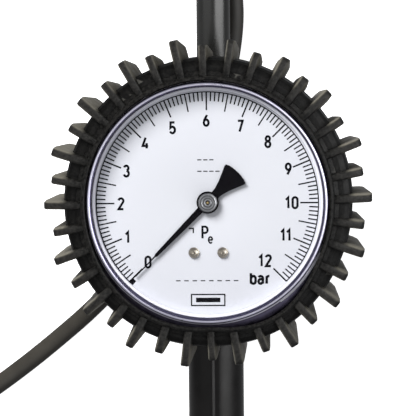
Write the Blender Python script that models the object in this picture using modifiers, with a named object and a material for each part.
"""A hand pump for air suspension with an 80 mm gauge in a finned rubber boot.

The pump lies on its back: +Z runs from the floor to the dial, +Y along the pump from its grip to its outlet tube,
and the origin is on the floor under the middle of the dial. Lengths are in millimetres and are turned into metres
where the meshes are made.
"""

import math

import bmesh
import bpy
from mathutils import Euler, Vector

MM = 0.001
MERGE = 0.00001
GAP = 0.3  # between pieces that touch

# Pump, along Y at height AXIS_Z
AXIS_Z = 13.0
BLOCK_HALF_WIDTH = 15.0
BLOCK_TOP = 27.0
BLOCK_LOW_Y = -44.0
BLOCK_HIGH_Y = 26.0
BARREL_R = 6.9
BARREL_BORE_R = 5.1
BARREL_START = -34.0
BARREL_END = -180.0
ROD_R = 2.5
ROD_END = -200.0
GRIP_R = 9.75
GRIP_START = -48.0
GRIP_END = -190.0
KNOB_R = 13.0
KNOB_END = -212.0
OUTLET_R = 5.85
OUTLET_START = 27.2
OUTLET_END = 110.0
RELIEF_END = 142.0

# Gauge, about Z
STEM_Y = -17.0
CASE_BACK = 39.0
CASE_R = 39.1
DIAL_Z = 59.6
BEZEL_R = 40.0
BEZEL_TOP = 66.0
FLANGE_R = 43.2
BOOT_INNER_R = 40.4
BOOT_R = 48.0
BOOT_BACK = 36.6
BOOT_TOP = 65.5
FINS = 36
LONG_FIN_R = 54.9
SHORT_FIN_R = 52.7
FIRST_FIN = 81.25  # degrees from +X

# Gauge movement
MODULE = 0.3
PINION_TEETH = 12
SECTOR_TEETH = 120
PIVOT = (-14.0, -14.0)
TAIL = (-16.9, -7.7)
TIP = (-24.2, -11.1)
POSTS = ((4.0, -19.5), (5.5, 5.5), (-17.5, 4.5))
MOVEMENT_SCREWS = ((-4.0, -18.6), (6.0, -11.8))
CASE_SCREWS = ((-8.0, -11.5), (8.0, -11.5))
DIAL_SCREWS = ((-4.8, -16.8), (4.8, -16.8))
SIDES = ("left", "right")
POINTER_REST = 224.6  # degrees clockwise from the top of the dial

# Bleed valve, along X from the gallery
BLEED_Y = 4.0

# Hose and the chuck on its end
HOSE_R = 3.1
CHUCK_Y = -79.5
CHUCK_Z = 8.2
CHUCK_FERRULE_X = -107.0
HOSE_ROUTE = (
    (0.0, 142.3, 13.0), (-0.2, 157.0, 11.8), (-4.8, 171.6, 8.8), (-15.4, 182.6, 5.9), (-30.2, 186.7, 4.0),
    (-45.2, 183.0, 3.2), (-56.2, 172.0, 3.1), (-60.3, 157.0, 3.1), (-56.6, 142.4, 3.1), (-46.0, 131.2, 3.1),
    (-32.6, 123.6, 3.1), (-19.6, 115.4, 3.1), (-8.8, 104.8, 3.1), (-0.2, 92.2, 3.1), (5.0, 78.0, 3.1),
    (7.1, 63.0, 3.1), (5.6, 47.0, 3.1), (1.5, 31.0, 3.1), (-4.6, 14.0, 3.1), (-13.6, -4.6, 3.1),
    (-26.6, -23.0, 3.1), (-42.6, -40.2, 3.1), (-58.2, -53.8, 3.1), (-72.6, -65.0, 3.7), (-84.2, -72.8, 5.5),
    (-95.0, -77.7, 7.3), (-106.5, -79.5, 8.2),
)
HOSE_POINTS = 62

COLOURS = {
    "boot_rubber": ((0.030, 0.029, 0.027), 0.85, 0.0),
    "gloss_black": ((0.012, 0.012, 0.012), 0.18, 0.0),
    "grip_plastic": ((0.035, 0.035, 0.034), 0.45, 0.0),
    "black_metal": ((0.025, 0.025, 0.026), 0.4, 0.9),
    "hose_rubber": ((0.030, 0.028, 0.026), 0.6, 0.0),
    "seal_rubber": ((0.020, 0.020, 0.020), 0.7, 0.0),
    "brass": ((0.70, 0.50, 0.22), 0.3, 1.0),
    "steel": ((0.60, 0.60, 0.62), 0.3, 1.0),
    "bezel_steel": ((0.75, 0.74, 0.80), 0.15, 1.0),
    "dial_white": ((0.87, 0.88, 0.91), 0.6, 0.0),
    "pointer_black": ((0.015, 0.015, 0.015), 0.5, 0.0),
    "nylon": ((0.80, 0.79, 0.75), 0.5, 0.0),
    "glass": ((0.95, 0.97, 0.98), 0.02, 0.0),
}


def clear_scene():
    for item in list(bpy.data.objects):
        bpy.data.objects.remove(item)


def make_collection(name):
    collection = bpy.data.collections.new(name)
    bpy.context.scene.collection.children.link(collection)
    return collection


def make_materials():
    made = {}
    for name, (colour, roughness, metallic) in COLOURS.items():
        material = bpy.data.materials.new(name)
        material.use_nodes = True
        shader = material.node_tree.nodes["Principled BSDF"]
        shader.inputs["Base Color"].default_value = (*colour, 1.0)
        shader.inputs["Roughness"].default_value = roughness
        shader.inputs["Metallic"].default_value = metallic
        made[name] = material
    made["glass"].node_tree.nodes["Principled BSDF"].inputs["Transmission Weight"].default_value = 1.0
    return made


clear_scene()
PARTS = make_collection("suspension_pump")
CUTTERS = make_collection("cutters")
MATERIALS = make_materials()
TURN = {"X": Euler((0.0, math.radians(90), 0.0)), "Y": Euler((math.radians(-90), 0.0, 0.0)), "Z": Euler()}


def metres(point):
    return Vector(point) * MM


def add(name, data, material, at=(0, 0, 0), axis="Z"):
    """A piece, in millimetres, in the object's collection, or a cutter when it has no material."""
    item = bpy.data.objects.new(name, data)
    item.location = metres(at)
    item.rotation_euler = TURN[axis]
    if material:
        PARTS.objects.link(item)
        data.materials.append(MATERIALS[material])
    else:
        CUTTERS.objects.link(item)
        item.hide_render = True
        item.display_type = "WIRE"
    return item


def mesh_from(name, build):
    data = bpy.data.meshes.new(name)
    mesh = bmesh.new()
    build(mesh)
    mesh.to_mesh(data)
    mesh.free()
    return data


def turned(name, profile, material, at=(0, 0, AXIS_Z), axis="Y", steps=24, ring=True):
    """A profile of (radius, height) turned about the axis. It runs down the outer side; a ring's is closed."""

    def build(mesh):
        points = [mesh.verts.new((radius * MM, 0.0, height * MM)) for radius, height in profile]
        for first, second in zip(points, points[1:]):
            mesh.edges.new((first, second))
        if ring:
            mesh.edges.new((points[-1], points[0]))

    item = add(name, mesh_from(name, build), material, at, axis)
    screw = item.modifiers.new("Turn", "SCREW")
    screw.steps = steps
    screw.render_steps = steps
    screw.use_merge_vertices = True
    screw.merge_threshold = MERGE
    screw.use_smooth_shade = True
    return item


def tube(name, outer, inner, low, high, material, at=(0, 0, AXIS_Z), axis="Y", steps=24):
    profile = [(outer, high), (outer, low), (inner, low), (inner, high)]
    return turned(name, profile, material, at, axis, steps)


def rod(name, radius, low, high, material, at=(0, 0, AXIS_Z), axis="Y", steps=16):
    profile = [(0, high), (radius, high), (radius, low), (0, low)]
    return turned(name, profile, material, at, axis, steps, ring=False)


def box(name, low, high, material, bevel=0.0, turn=0.0):
    """A box between two corners, turned about its own upright axis by degrees."""
    size = [(b - a) * MM for a, b in zip(low, high)]

    def build(mesh):
        bmesh.ops.create_cube(mesh, size=1.0)
        bmesh.ops.scale(mesh, vec=size, verts=mesh.verts)

    item = add(name, mesh_from(name, build), material, [(a + b) / 2 for a, b in zip(low, high)])
    item.rotation_euler = Euler((0.0, 0.0, math.radians(turn)))
    if bevel:
        rounding = item.modifiers.new("Edges", "BEVEL")
        rounding.width = bevel * MM
        rounding.segments = 2
    return item


def cone(name, low_radius, high_radius, start, end, sides=16):
    """A cutter that runs from one point to another."""
    run = metres(end) - metres(start)

    def build(mesh):
        bmesh.ops.create_cone(
            mesh, cap_ends=True, segments=sides, radius1=low_radius * MM, radius2=high_radius * MM, depth=run.length
        )

    item = add(name, mesh_from(name, build), None)
    item.location = (metres(start) + metres(end)) / 2
    item.rotation_euler = run.to_track_quat("Z", "Y").to_euler()
    return item


def drill(target, radius, start, end, sides=16):
    combine(target, cone(f"{target.name}_drill", radius, radius, start, end, sides), "DIFFERENCE")


def combine(target, other, operation):
    step = target.modifiers.new(operation.title(), "BOOLEAN")
    step.operation = operation
    step.object = other
    step.solver = "EXACT"


def as_mesh(item):
    """A curve made a mesh, with its caps joined to its sides."""
    bpy.context.view_layer.update()
    graph = bpy.context.evaluated_depsgraph_get()
    data = bpy.data.meshes.new_from_object(item.evaluated_get(graph))
    mesh = bmesh.new()
    mesh.from_mesh(data)
    bmesh.ops.remove_doubles(mesh, verts=mesh.verts, dist=MERGE / 10)
    bmesh.ops.recalc_face_normals(mesh, faces=mesh.faces)
    mesh.to_mesh(data)
    mesh.free()
    made = bpy.data.objects.new(item.name, data)
    made.matrix_world = item.matrix_world
    name = item.name
    for collection in item.users_collection:
        collection.objects.link(made)
    if item.hide_render:
        made.hide_render = True
        made.display_type = "WIRE"
    bpy.data.objects.remove(item)
    made.name = name
    return made


def plate(name, outlines, low, high, material, at=(0, 0)):
    """Flat outlines, the first one outside and the others holes, given depth between two heights."""
    data = bpy.data.curves.new(name, "CURVE")
    data.dimensions = "2D"
    data.fill_mode = "BOTH"
    data.extrude = (high - low) / 2 * MM
    for outline in outlines:
        spline = data.splines.new("POLY")
        spline.points.add(len(outline) - 1)
        for point, (x, y) in zip(spline.points, outline):
            point.co = (x * MM, y * MM, 0.0, 1.0)
        spline.use_cyclic_u = True
    return add(name, data, material, (at[0], at[1], (low + high) / 2))


def polar(radius, degrees, centre=(0.0, 0.0)):
    angle = math.radians(degrees)
    return centre[0] + radius * math.cos(angle), centre[1] + radius * math.sin(angle)


def circle(radius, centre=(0.0, 0.0), sides=24):
    return [polar(radius, 360 * k / sides, centre) for k in range(sides)]


def arc(radius, start, end, centre=(0.0, 0.0), pieces=6):
    return [polar(radius, start + (end - start) * k / pieces, centre) for k in range(pieces + 1)]


def capsule(length, radius, start=0.0, direction=0.0, pieces=8):
    """A slot's outline that runs from start to length along a direction."""
    near = polar(start, direction)
    far = polar(length, direction)
    return arc(radius, direction - 90, direction + 90, far, pieces) + arc(
        radius, direction + 90, direction + 270, near, pieces
    )


def teeth(pitch_radius, angles):
    """The outline over a run of gear teeth, each centred on an angle in degrees."""
    root = pitch_radius - 1.35 * MODULE
    tip = pitch_radius + 0.8 * MODULE
    root_half = math.degrees(0.27 / root)
    tip_half = math.degrees(0.09 / tip)
    outline = []
    for angle in angles:
        outline += [
            (root, angle - root_half), (tip, angle - tip_half), (tip, angle + tip_half), (root, angle + root_half),
        ]
    return [polar(radius, degrees) for radius, degrees in outline]


def wire(name, points, radius, material, resolution=1, at=(0, 0, 0)):
    data = bpy.data.curves.new(name, "CURVE")
    data.dimensions = "3D"
    data.bevel_depth = radius * MM
    data.bevel_resolution = resolution
    data.use_fill_caps = True
    spline = data.splines.new("POLY")
    spline.points.add(len(points) - 1)
    for point, place in zip(spline.points, points):
        point.co = (*(value * MM for value in place), 1.0)
    return add(name, data, material, at)


def coil_spring(name, radius, wire_radius, start, end, turns, axis, at):
    """A compression spring along X or Y, with a nearly flat turn at each end."""
    per_turn = 8
    points = []
    for k in range(per_turn * turns + 1):
        share = k / (per_turn * turns)
        eased = 0.5 - 0.5 * math.cos(math.pi * share)
        along = start + (end - start) * (0.35 * eased + 0.65 * share)
        across, up = polar(radius, 360 * k / per_turn)
        points.append((along, across, up) if axis == "X" else (across, along, up))
    return wire(name, points, wire_radius, "steel", at=at)


# Head and pump ---------------------------------------------------------------------------------------------------


def make_head_block():
    block = box(
        "head_block", (-BLOCK_HALF_WIDTH, BLOCK_LOW_Y, 0), (BLOCK_HALF_WIDTH, BLOCK_HIGH_Y, BLOCK_TOP), "black_metal", 1.6
    )
    for radius, start, end in (
        (BARREL_R + GAP, BLOCK_LOW_Y - 1, -32.0),
        (4.5, -33.0, -20.5),
        (2.2, -21.5, 16.0),
        (4.3, 14.0, BLOCK_HIGH_Y + 1),
    ):
        drill(block, radius, (0, start, AXIS_Z), (0, end, AXIS_Z))
    drill(block, 1.6, (0, STEM_Y, AXIS_Z), (0, STEM_Y, 19.5), 16)
    drill(block, 4.3, (0, STEM_Y, 18.7), (0, STEM_Y, BLOCK_TOP + 1))
    for radius, start, end in ((2.7, -3.5, 3.0), (1.3, 2.0, 8.0), (3.6, 7.0, 11.5), (4.8, 10.8, BLOCK_HALF_WIDTH + 1)):
        drill(block, radius, (start, BLEED_Y, AXIS_Z), (end, BLEED_Y, AXIS_Z), 20)
    channel = box("hose_channel", (-4.7, -30.0, -1.0), (4.7, 30.0, 6.9), None, turn=-25.5)
    channel.location = metres((-7.2, 9.6, 2.95))
    combine(block, channel, "DIFFERENCE")
    return block


def make_barrel():
    tube("barrel", BARREL_R, BARREL_BORE_R, BARREL_END, BARREL_START, "steel")
    tube("barrel_seal", 6.8, 5.2, -33.7, -32.3, "seal_rubber", steps=16)
    tube("barrel_nut", 9.5, BARREL_R + GAP, -47.4, BLOCK_LOW_Y - GAP, "black_metal")
    guide = [(4.8, -170.0), (4.8, -180.3), (6.9, -180.3), (6.9, -183.0), (2.8, -183.0), (2.8, -170.0)]
    turned("rod_guide", guide, "nylon", steps=16)


def make_plunger():
    """The piston and its seal slide; the rod turns in the piston."""
    piston = [
        (0, -36.5), (4.6, -36.5), (4.6, -38.4), (3.6, -38.4), (3.6, -41.1), (4.6, -41.1), (4.6, -46.0),
        (2.8, -46.0), (2.8, -41.7), (0, -41.7),
    ]
    turned("piston", piston, "nylon", steps=16, ring=False)
    tube("piston_seal", 4.8, 3.9, -40.8, -38.7, "seal_rubber", steps=16)


def make_handle():
    rod_profile = [(0, -42.0), (ROD_R, -42.0), (ROD_R, ROD_END), (1.75, ROD_END), (1.75, -193.5), (0, -193.5)]
    turned("piston_rod", rod_profile, "steel", steps=18, ring=False)
    sleeve = [
        (9.0, GRIP_START), (GRIP_R, GRIP_START - 0.8), (GRIP_R, GRIP_END + 0.5), (9.2, GRIP_END), (7.6, GRIP_END),
        (7.6, -58.0), (8.2, -58.0), (8.2, GRIP_START),
    ]
    turned("grip_sleeve", sleeve, "grip_plastic", steps=28)
    tube("sleeve_bush", 7.9, 7.2, -57.7, GRIP_START - 0.2, "nylon", steps=20)
    tube("stop_bumper", 6.0, 2.8, -187.4, -184.0, "seal_rubber", steps=16)
    knob = [
        (7.2, -187.7), (7.2, GRIP_END - GAP), (10.2, GRIP_END - GAP), (12.4, -191.6), (KNOB_R, -194.0),
        (KNOB_R, -207.0), (12.3, -210.2), (10.4, KNOB_END), (3.8, KNOB_END), (3.8, -207.2), (1.75, -207.2),
        (1.75, ROD_END - GAP), (2.8, ROD_END - GAP), (2.8, -187.7),
    ]
    turned("end_cap", knob, "grip_plastic", steps=28)
    screw = [(0, -194.5), (1.4, -194.5), (1.4, -207.5), (3.4, -207.5), (3.1, -210.4), (0, -210.4)]
    turned("cap_screw", screw, "steel", steps=20, ring=False)


def make_check_valve():
    tube("check_seat", 4.2, 1.5, -31.7, -29.5, "brass", steps=16)
    poppet = [(0, -22.5), (1.4, -22.5), (1.4, -26.4), (3.3, -26.4), (3.3, -29.2), (0, -29.2)]
    turned("check_poppet", poppet, "nylon", steps=12, ring=False)
    coil_spring("check_spring", 2.3, 0.22, -26.0, -20.9, 5, "Y", (0, 0, AXIS_Z))


def make_bleed_valve():
    at = (0, BLEED_Y, AXIS_Z)
    stem = [(0, 15.6), (0.9, 15.6), (0.9, 2.7), (2.2, 2.7), (2.2, 1.7), (0, 1.7)]
    turned("bleed_stem", stem, "brass", at, "X", 16, ring=False)
    coil_spring("bleed_spring", 2.8, 0.25, 7.4, 13.0, 5, "X", at)
    button = [
        (0, 21.4), (3.0, 21.4), (3.8, 20.6), (3.8, 15.1), (4.5, 15.1), (4.5, 13.4), (1.2, 13.4), (1.2, 15.9), (0, 15.9),
    ]
    turned("bleed_button", button, "steel", at, "X", 16, ring=False)
    tube("bleed_collar", 6.5, 4.1, BLOCK_HALF_WIDTH + 0.4, 18.4, "brass", at, "X", 16)


def make_outlet():
    tube("outlet_washer", 5.8, 4.3, BLOCK_HIGH_Y + GAP, OUTLET_START - 0.2, "nylon", steps=16)
    outlet = [
        (5.45, OUTLET_END), (OUTLET_R, OUTLET_END - 0.4), (OUTLET_R, OUTLET_START), (4.0, OUTLET_START), (4.0, 16.3),
        (2.2, 16.3), (2.2, 95.0), (3.6, 95.0), (3.6, OUTLET_END),
    ]
    turned("outlet_tube", outlet, "gloss_black", steps=24)
    fitting = [
        (4.6, 118.0), (5.5, 117.2), (5.5, OUTLET_END + GAP), (3.3, OUTLET_END + GAP), (3.3, 96.0), (1.5, 96.0), (1.5, 118.0),
    ]
    turned("hose_fitting", fitting, "steel", steps=18)
    relief = [(0, RELIEF_END), (3.5, RELIEF_END), (4.9, 120.0), (4.6, 118.0 + GAP), (0, 118.0 + GAP)]
    turned("hose_relief", relief, "seal_rubber", steps=16, ring=False)


# Gauge -----------------------------------------------------------------------------------------------------------


def make_gauge_stem():
    at = (0, STEM_Y, 0)
    stem = turned(
        "gauge_stem",
        [(0, 43.0), (5.0, 43.0), (5.0, 36.0), (4.6, 36.0), (4.6, 28.3), (4.0, 28.3), (4.0, 19.0), (0, 19.0)],
        "brass", at, "Z", 24, ring=False,
    )
    hexagon = as_mesh(plate("stem_hexagon", [circle(8.08, (0, STEM_Y), 6)], 28.4, 36.4, None))
    combine(stem, hexagon, "UNION")
    socket = box("stem_socket", (-11, -31, 41), (11, -8, 49.5), None)
    combine(stem, socket, "UNION")
    drill(stem, 1.2, (0, STEM_Y, 18.0), (0, STEM_Y, 45.5), 12)
    drill(stem, 0.9, (-0.5, STEM_Y + 0.3, 45.2), (12, -24.8, 45.2), 12)
    for x, y in CASE_SCREWS:
        drill(stem, 1.5, (x, y, 40.0), (x, y, 47.6), 12)
    for x, y in MOVEMENT_SCREWS:
        drill(stem, 1.25, (x, y, 46.2), (x, y, 50.0), 12)
    tube("stem_washer", 6.5, 4.3, BLOCK_TOP + 0.15, 28.1, "nylon", at, "Z", 24)


def make_gauge_case():
    wall = [
        (0, 40.1), (38.0, 40.1), (38.5, 40.6), (38.5, 62.4), (CASE_R, 62.4), (CASE_R, 39.6), (38.5, CASE_BACK),
        (0, CASE_BACK),
    ]
    case = turned("gauge_case", wall, "steel", (0, 0, 0), "Z", 36, ring=False)
    drill(case, 5.35, (0, STEM_Y, 38), (0, STEM_Y, 41))
    for x, y in CASE_SCREWS:
        drill(case, 1.6, (x, y, 38), (x, y, 41), 12)


def screw(name, place, head_radius, head_low, head_high, shank_radius, shank_end, material):
    """A screw along Z, with its head above or below its shank."""
    if shank_end < head_low:
        profile = [
            (0, head_high), (head_radius, head_high), (head_radius, head_low), (shank_radius, head_low),
            (shank_radius, shank_end), (0, shank_end),
        ]
    else:
        profile = [
            (0, shank_end), (shank_radius, shank_end), (shank_radius, head_high), (head_radius, head_high),
            (head_radius, head_low), (0, head_low),
        ]
    return turned(name, profile, material, (*place, 0), "Z", 16, ring=False)


def make_bourdon():
    """The curved tube, on a flat oval section, from the socket's right side round to the link's end piece."""
    section = bpy.data.curves.new("bourdon_section", "CURVE")
    section.dimensions = "2D"
    spline = section.splines.new("POLY")
    outline = arc(1.5, 0, 180, (0, 2.2), 4) + arc(1.5, 180, 360, (0, -2.2), 4)
    spline.points.add(len(outline) - 1)
    for point, (x, y) in zip(spline.points, outline):
        point.co = (x * MM, y * MM, 0.0, 1.0)
    spline.use_cyclic_u = True
    shape = add("bourdon_section", section, None)
    path = [(*polar(27.0, -64 + 262 * k / 36), 45.25) for k in range(37)]
    bourdon = wire("bourdon_tube", path, 1.0, "brass")
    bourdon.data.bevel_mode = "OBJECT"
    bourdon.data.bevel_object = shape
    as_mesh(bourdon)
    block = box("tube_tip", (-2.6, -2.8, 41.5), (2.6, 2.8, 49.0), "brass", 0.4, turn=25)
    block.location = metres((*TIP, 45.25))
    pin = cone("tip_pin", 0.6, 0.6, (*TIP, 48.5), (*TIP, 55.4), 12)
    combine(block, pin, "UNION")


def movement_outline():
    return arc(2, -60, 30, (6.5, -22.5)) + arc(2, 0, 90, (7.5, 8.0)) + arc(2, 90, 170, (-18.5, 7.0)) + arc(
        2, 180, 290, (-16.8, -17.4)
    )


def make_movement():
    holes = [circle(1.0, (0, 0), 16), circle(1.0, PIVOT, 16)]
    back_holes = holes + [circle(1.25, place, 12) for place in MOVEMENT_SCREWS]
    plate("back_plate", [movement_outline()] + back_holes, 49.8, 51.0, "brass")
    front_holes = holes + [circle(1.2, place, 12) for place in DIAL_SCREWS]
    front = as_mesh(plate("front_plate", [movement_outline()] + front_holes, 56.0, 57.2, "brass"))
    for k, place in enumerate(DIAL_SCREWS):
        post = tube(f"dial_post_{k}", 2.2, 1.3, 56.6, DIAL_Z - GAP, None, (*place, 0), "Z", 12)
        combine(front, post, "UNION")
    for k, place in enumerate(POSTS, 1):
        rod(f"plate_post_{k}", 1.5, 51.3, 55.7, "brass", (*place, 0), "Z", 16)
    for side, place in zip(SIDES, MOVEMENT_SCREWS):
        screw(f"movement_screw_{side}", place, 1.9, 51.3, 52.4, 0.9, 46.6, "steel")
    for side, place in zip(SIDES, CASE_SCREWS):
        screw(f"case_screw_{side}", place, 2.4, 37.3, 38.7, 1.1, 47.0, "steel")


def make_sector():
    """The toothed sector, whose origin is its pivot, with its tail's pin."""
    at = (*PIVOT, 0)
    contact = 45.0
    step = 360 / SECTOR_TEETH
    rim = teeth(MODULE * SECTOR_TEETH / 2, [contact + step * k for k in range(-12, 3)])
    tail = (TAIL[0] - PIVOT[0], TAIL[1] - PIVOT[1])
    reach = math.hypot(*tail)
    towards = math.degrees(math.atan2(tail[1], tail[0]))
    body = arc(3.0, 60, towards - 35) + arc(1.4, towards - 90, towards + 90, polar(reach, towards)) + arc(
        3.0, towards + 35, 368, pieces=12
    )
    gear = as_mesh(plate("sector_gear", [rim + body], 52.2, 53.6, "brass", PIVOT))
    combine(gear, rod("sector_arbor", 0.7, 50.2, 56.9, None, at, "Z", 12), "UNION")
    combine(gear, rod("tail_pin", 0.5, 53.0, 55.3, None, (*TAIL, 0), "Z", 12), "UNION")


def make_link():
    """A bar from the sector's tail to the curved tube's tip, slotted at the tip."""
    direction = math.degrees(math.atan2(TIP[1] - TAIL[1], TIP[0] - TAIL[0]))
    outline = capsule(8.4, 2.3, 0.0, direction)
    hole = circle(0.85, sides=16)
    slot = capsule(8.3, 1.2, 4.4, direction)
    plate("link", [outline, hole, slot], 54.0, 54.8, "steel", TAIL)


def make_pointer_group():
    at = (0, 0, 0)
    first = 225 + 180 / PINION_TEETH
    outline = teeth(MODULE * PINION_TEETH / 2, [first + 360 * k / PINION_TEETH for k in range(PINION_TEETH)])
    pinion = as_mesh(plate("pinion", [outline], 52.0, 54.4, "brass"))
    arbor = turned(
        "pinion_arbor", [(0, 63.1), (0.35, 63.1), (0.7, 62.4), (0.7, 50.2), (0, 50.2)], None, at, "Z", 12, ring=False
    )
    combine(pinion, arbor, "UNION")
    heading = 90 - POINTER_REST
    blade = [polar(r, heading + side) for r, side in ((3.5, -18), (24.8, -1.15), (25.3, -0.45), (34.8, -0.33))]
    blade += [polar(r, heading + side) for r, side in ((34.8, 0.33), (25.3, 0.45), (24.8, 1.15), (3.5, 18))]
    fan = [polar(r, heading + 180 + side) for r, side in ((3.8, -22), (7.6, -17), (12.8, -19), (13.7, -17.5))]
    fan += arc(14.2, heading + 180 - 14, heading + 180 + 14)
    fan += [polar(r, heading + 180 + side) for r, side in ((13.7, 17.5), (12.8, 19), (7.6, 17), (3.8, 22))]
    plate("pointer", [blade + fan, circle(1.2)], 61.0, 61.5, "pointer_black")
    tube("pointer_hub", 3.7, 1.0, 61.8, 62.3, "pointer_black", at, "Z", 32)
    tube("hub_cap", 3.2, 0.65, 62.6, 62.95, "steel", at, "Z", 32)


def make_hairspring():
    turns, per_turn = 4, 10
    count = turns * per_turn
    points = [(*polar(1.4 + 3.2 * k / count, 360 * k / per_turn), 55.3) for k in range(count + 1)]
    wire("hairspring", points, 0.12, "steel")


def make_dial():
    plate("dial", [circle(38.2, sides=48), circle(2.0)] + [circle(1.2, place, 12) for place in DIAL_SCREWS],
          DIAL_Z, 60.3, "dial_white")
    for side, place in zip(SIDES, DIAL_SCREWS):
        screw(f"dial_screw_{side}", place, 1.8, 60.6, 61.7, 0.9, 55.6, "brass")


def make_front():
    at = (0, 0, 0)
    tube("spacer_ring", 38.2, 37.5, 60.6, 63.1, "nylon", at, "Z", 48)
    tube("window_gasket", CASE_R, 38.5, 62.7, 63.1, "seal_rubber", at, "Z", 36)
    rod("window", CASE_R, 63.4, 65.0, "glass", at, "Z", 48)
    bezel = [
        (39.5, BEZEL_TOP), (BEZEL_R, 65.5), (BEZEL_R, 63.4), (FLANGE_R, 62.8), (FLANGE_R, 61.8), (BEZEL_R, 61.8),
        (BEZEL_R, 58.0), (39.4, 58.0), (39.4, 65.3), (38.7, 65.3), (38.7, BEZEL_TOP),
    ]
    turned("bezel_ring", bezel, "bezel_steel", at, "Z", 48)


def make_boot():
    """The rubber cup round the gauge, with long and short fins by turns."""
    at = (0, 0, 0)
    groove = FLANGE_R + 0.4
    cup = [
        (41.8, BOOT_TOP), (47.0, 64.6), (BOOT_R, 63.0), (BOOT_R, 38.5), (45.5, BOOT_BACK), (27.5, BOOT_BACK),
        (27.5, 38.7), (39.2, 38.7), (BOOT_INNER_R, 39.6), (BOOT_INNER_R, 61.1), (groove, 61.4), (groove, 63.1),
        (BOOT_INNER_R, 63.9), (BOOT_INNER_R, BOOT_TOP),
    ]
    boot = turned("rubber_boot", cup, "boot_rubber", at, "Z", 36)
    outline = []
    for k in range(FINS):
        middle = FIRST_FIN - 360 / FINS * k
        reach = SHORT_FIN_R if k % 2 else LONG_FIN_R
        root_half = math.degrees(1.6 / 46.0)
        tip_half = math.degrees(1.1 / reach)
        outline += [
            polar(46.0, middle + root_half), polar(reach, middle + tip_half),
            polar(reach, middle - tip_half), polar(46.0, middle - root_half),
        ]
    fins = as_mesh(plate("boot_fins", [outline[::-1], circle(45.0, sides=36)], 38.4, 63.6, None))
    combine(boot, fins, "UNION")


# Hose and chuck ----------------------------------------------------------------------------------------------------


def smooth_path(points, count):
    """Points evenly spaced on a smooth curve through the route."""
    dense = []
    padded = [2 * Vector(points[0]) - Vector(points[1])] + [Vector(p) for p in points]
    padded.append(2 * padded[-1] - padded[-2])
    for a, b, c, d in zip(padded, padded[1:], padded[2:], padded[3:]):
        for k in range(24):
            t = k / 24
            dense.append(
                0.5 * (2 * b + (c - a) * t + (2 * a - 5 * b + 4 * c - d) * t * t + (3 * b - a - 3 * c + d) * t**3)
            )
    dense.append(padded[-2])
    lengths = [0.0]
    for first, second in zip(dense, dense[1:]):
        lengths.append(lengths[-1] + (second - first).length)
    path = []
    at = 0
    for k in range(count):
        wanted = lengths[-1] * k / (count - 1)
        while at < len(lengths) - 2 and lengths[at + 1] < wanted:
            at += 1
        share = (wanted - lengths[at]) / (lengths[at + 1] - lengths[at])
        path.append(dense[at].lerp(dense[at + 1], min(share, 1.0)))
    return path


def make_hose():
    wire("hose", smooth_path(HOSE_ROUTE, HOSE_POINTS), HOSE_R, "hose_rubber", 2)


def make_chuck():
    """The screw-on chuck for the air spring's valve, along -X from the hose."""
    at = (0, CHUCK_Y, CHUCK_Z)
    x = CHUCK_FERRULE_X
    ferrule = [(0, x), (3.5, x), (4.6, x - 10), (4.6, x - 15), (0, x - 15)]
    turned("chuck_ferrule", ferrule, "steel", at, "X", 16, ring=False)
    body = [
        (8.2, x - 15.3), (8.2, x - 20.0), (6.2, x - 20.0), (6.2, x - 33.0), (5.2, x - 33.0), (5.2, x - 31.0),
        (2.0, x - 31.0), (2.0, x - 15.3),
    ]
    turned("chuck_body", body, "steel", at, "X", 24)
    tube("chuck_seal", 4.9, 2.6, x - 33.4, x - 31.3, "seal_rubber", at, "X", 16)
    pin = [(0, x - 18.0), (1.7, x - 18.0), (1.7, x - 26.0), (0.9, x - 27.0), (0.9, x - 36.0), (0, x - 36.0)]
    turned("chuck_pin", pin, "brass", at, "X", 16, ring=False)
    nut = [
        (7.2, x - 20.4), (7.9, x - 21.2), (7.9, x - 43.0), (7.0, x - 44.0), (4.1, x - 44.0), (4.1, x - 33.8),
        (6.6, x - 33.8), (6.6, x - 20.4),
    ]
    turned("chuck_nut", nut, "black_metal", at, "X", 28)


def build_all():
    make_head_block()
    make_barrel()
    make_plunger()
    make_handle()
    make_check_valve()
    make_bleed_valve()
    make_outlet()
    make_gauge_stem()
    make_gauge_case()
    make_bourdon()
    make_movement()
    make_sector()
    make_link()
    make_pointer_group()
    make_hairspring()
    make_dial()
    make_front()
    make_boot()
    make_hose()
    make_chuck()


build_all()
